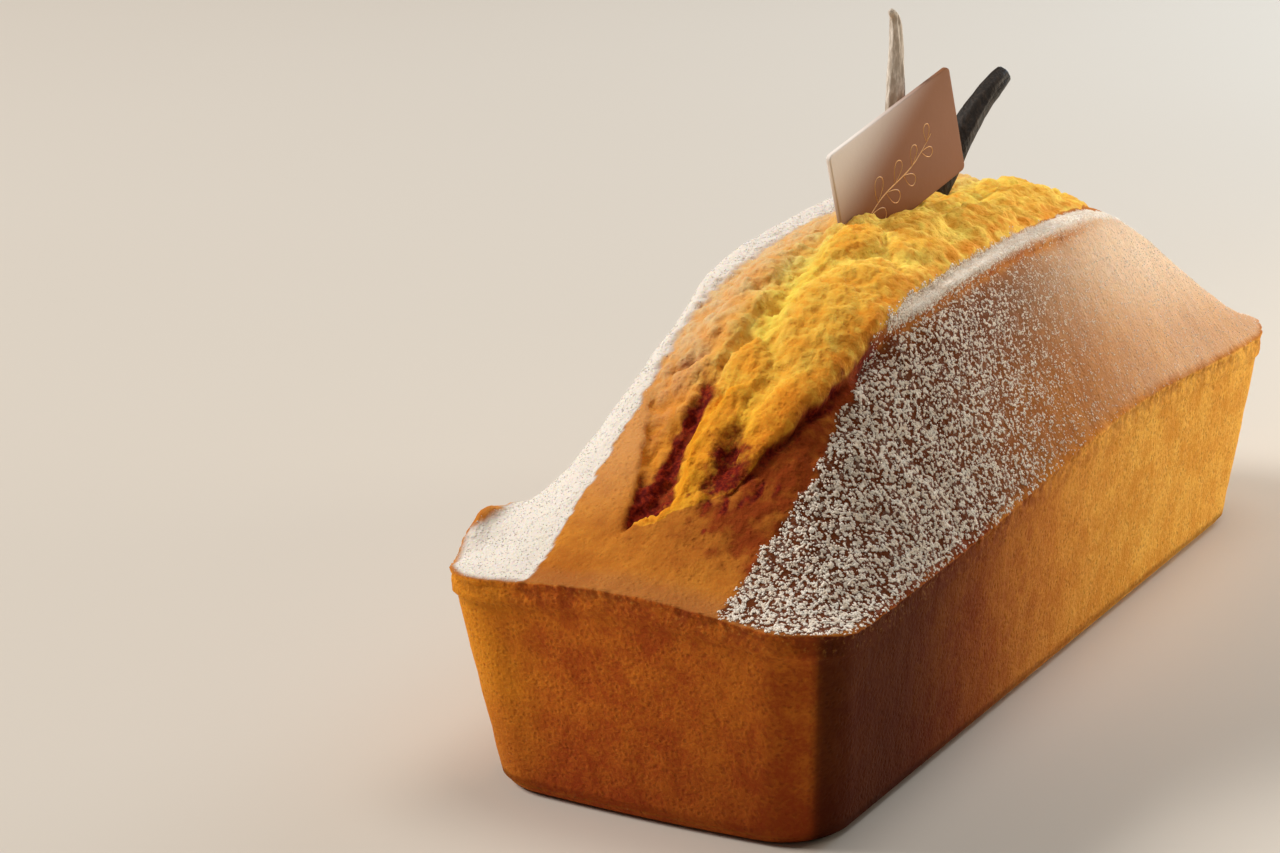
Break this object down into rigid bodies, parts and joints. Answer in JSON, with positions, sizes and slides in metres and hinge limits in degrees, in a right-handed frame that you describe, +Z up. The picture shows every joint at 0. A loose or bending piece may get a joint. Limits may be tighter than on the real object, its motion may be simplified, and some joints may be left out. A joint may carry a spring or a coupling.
{
  "type": "pound cake loaf",
  "caption": "Golden pound cake loaf from a long tin, its crest burst open along the middle, with a thin chocolate plaque and vanilla pods stuck in it.",
  "frame": {"origin": "on the surface that the loaf stands on, under the middle of the whole part's box", "axes": "+Z up, Y along the loaf with the crack's pointed end at -Y, X across it"},
  "size_m": [0.09, 0.243, 0.141],
  "materials": {
    "baked_crust": "matt baked crust, golden brown, with yellow torn crumb along the crest and icing sugar on both sides of it",
    "plaque_chocolate": "smooth satin milk chocolate",
    "vanilla_dark": "oily, wrinkled, near black",
    "vanilla_pale": "dry, wrinkled, grey brown"
  },
  "bodies": {
    "root": {"cake_loaf": "baked_crust", "plaque": "plaque_chocolate", "vanilla_pod_dark": "vanilla_dark", "vanilla_pod_pale": "vanilla_pale"}
  },
  "joints": []
}
